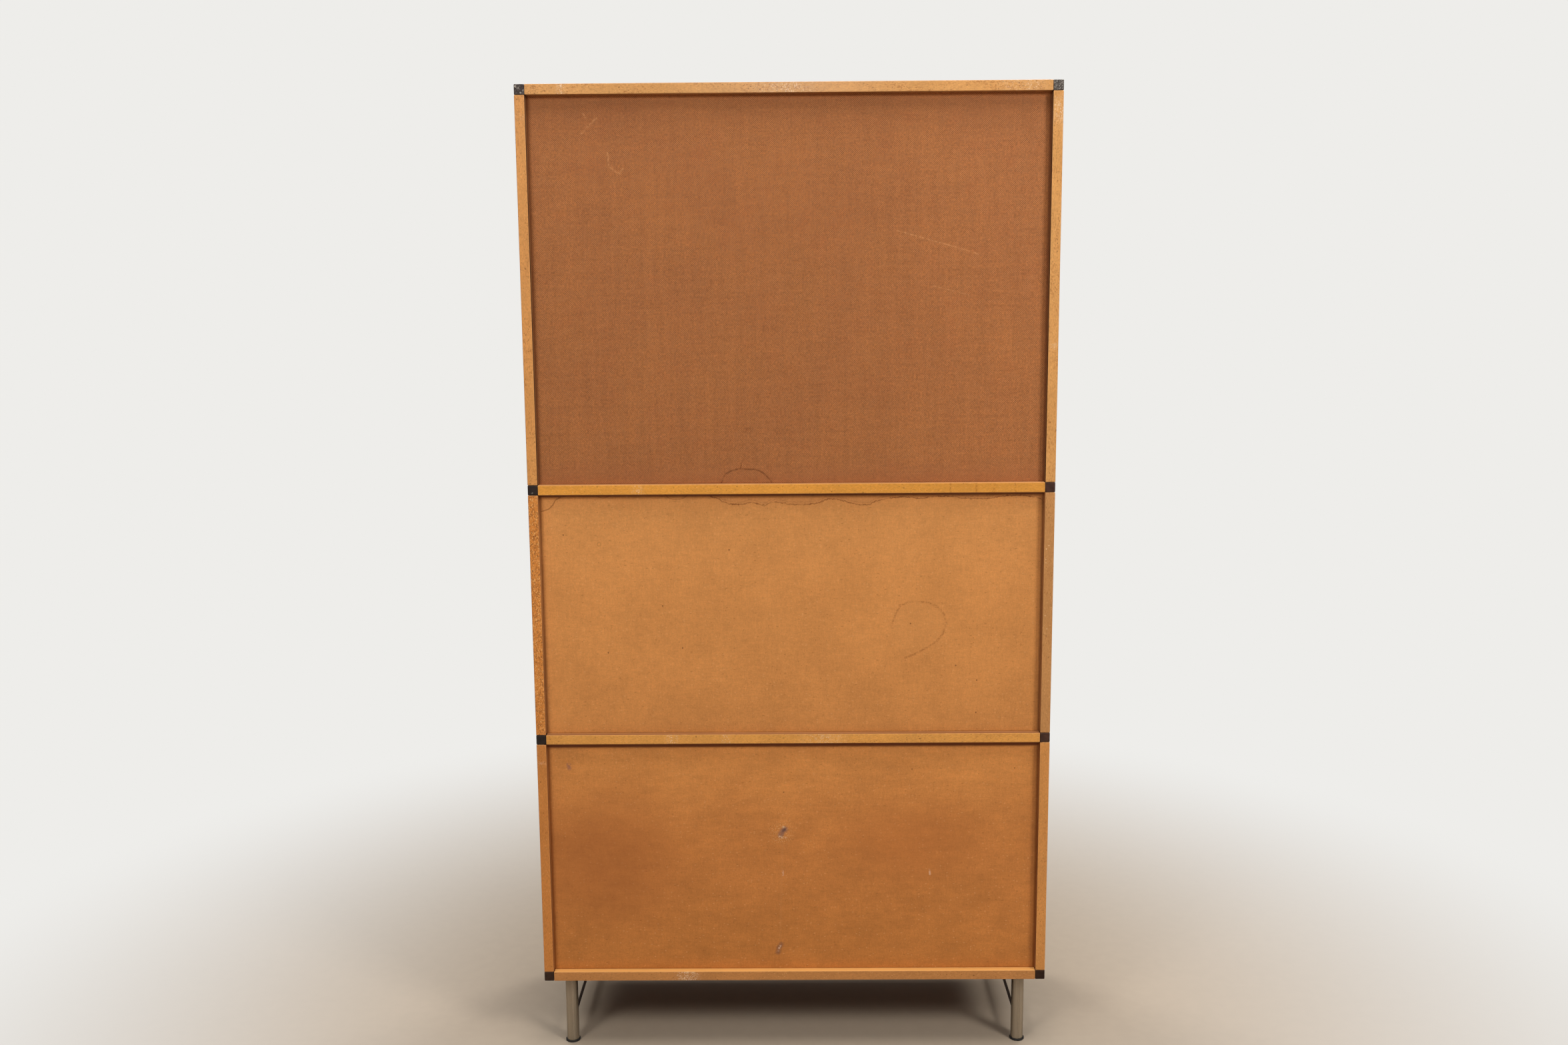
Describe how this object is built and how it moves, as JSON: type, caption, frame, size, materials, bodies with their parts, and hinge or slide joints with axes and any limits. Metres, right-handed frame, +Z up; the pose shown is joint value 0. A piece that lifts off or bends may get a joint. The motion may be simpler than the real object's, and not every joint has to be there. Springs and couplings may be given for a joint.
{
  "type": "wall cabinet",
  "caption": "Tall display cabinet of boards keyed into square posts, with sliding glass over hinged doors and drawers, on tubular leg frames.",
  "frame": {"origin": "on the floor under the middle of the cabinet's box, knobs included", "axes": "+Z up; +Y towards the back, the side with the three recessed sheets; -Y towards the front; +X to the right of someone who stands in front"},
  "size_m": [1.0804, 0.442, 2.0375],
  "materials": {
    "board": "varnished warm veneer with flecked edges, satin",
    "front": "reddish brown veneer, satin varnish",
    "drawer_wood": "pale beech, lightly sealed",
    "screen_sheet": "hardboard, woven screen side out, reddish brown stain",
    "sheet": "hardboard, smooth side out, lacquered orange brown",
    "post": "black, worn matt",
    "track": "dark brown extrusion",
    "glass": "clear float glass with ground edges",
    "nickel": "satin nickel",
    "leg_metal": "satin warm grey metal tube",
    "foot": "black, matt"
  },
  "bodies": {
    "carcass": {"top_panel": "board", "upper_divider": "board", "lower_divider": "board", "bottom_panel": "board", "upper_side_left": "board", "upper_side_right": "board", "middle_side_left": "board", "middle_side_right": "board", "lower_side_left": "board", "lower_side_right": "board", "corner_post_top_left": "post", "corner_post_top_right": "post", "corner_post_upper_left": "post", "corner_post_upper_right": "post", "corner_post_lower_left": "post", "corner_post_lower_right": "post", "corner_post_bottom_left": "post", "corner_post_bottom_right": "post", "upper_back": "screen_sheet", "middle_back": "sheet", "lower_back": "sheet", "upper_shelf_high": "board", "upper_shelf_low": "board", "middle_shelf": "board", "glass_track_top": "track", "glass_track_bottom": "track", "hinge_left_low_frame_half": "nickel", "hinge_left_high_frame_half": "nickel", "hinge_right_low_frame_half": "nickel", "hinge_right_high_frame_half": "nickel", "leg_frame_left": "leg_metal", "leg_frame_right": "leg_metal", "foot_front_left": "foot", "foot_front_right": "foot", "foot_rear_left": "foot", "foot_rear_right": "foot"},
    "left_pane": {"glass_left": "glass"},
    "right_pane": {"glass_right": "glass"},
    "left_door": {"door_left": "front", "door_knob_left": "nickel", "hinge_left_low_door_half": "nickel", "hinge_left_high_door_half": "nickel"},
    "right_door": {"door_right": "front", "door_knob_right": "nickel", "hinge_right_low_door_half": "nickel", "hinge_right_high_door_half": "nickel"},
    "upper_drawer": {"upper_drawer_front": "front", "upper_drawer_side_left": "drawer_wood", "upper_drawer_side_right": "drawer_wood", "upper_drawer_back": "drawer_wood", "upper_drawer_bottom": "sheet", "upper_drawer_knob_left": "nickel", "upper_drawer_knob_right": "nickel"},
    "lower_drawer": {"lower_drawer_front": "front", "lower_drawer_side_left": "drawer_wood", "lower_drawer_side_right": "drawer_wood", "lower_drawer_back": "drawer_wood", "lower_drawer_bottom": "sheet", "lower_drawer_knob_left": "nickel", "lower_drawer_knob_right": "nickel"}
  },
  "joints": [
    {"name": "left_pane_slide", "type": "slide", "parent": "carcass", "child": "left_pane", "axis": [1, 0, 0], "range_m": [0, 0.5]},
    {"name": "right_pane_slide", "type": "slide", "parent": "carcass", "child": "right_pane", "axis": [-1, 0, 0], "range_m": [0, 0.5]},
    {"name": "left_door_hinge", "type": "hinge", "parent": "carcass", "child": "left_door", "pos_m": [-0.51875, -0.2025, 0.96725], "axis": [0, 0, -1], "range_deg": [0, 110]},
    {"name": "right_door_hinge", "type": "hinge", "parent": "carcass", "child": "right_door", "pos_m": [0.51875, -0.2025, 0.96725], "axis": [0, 0, 1], "range_deg": [0, 110]},
    {"name": "upper_drawer_slide", "type": "slide", "parent": "carcass", "child": "upper_drawer", "axis": [0, -1, 0], "range_m": [0, 0.3]},
    {"name": "lower_drawer_slide", "type": "slide", "parent": "carcass", "child": "lower_drawer", "axis": [0, -1, 0], "range_m": [0, 0.3]}
  ]
}
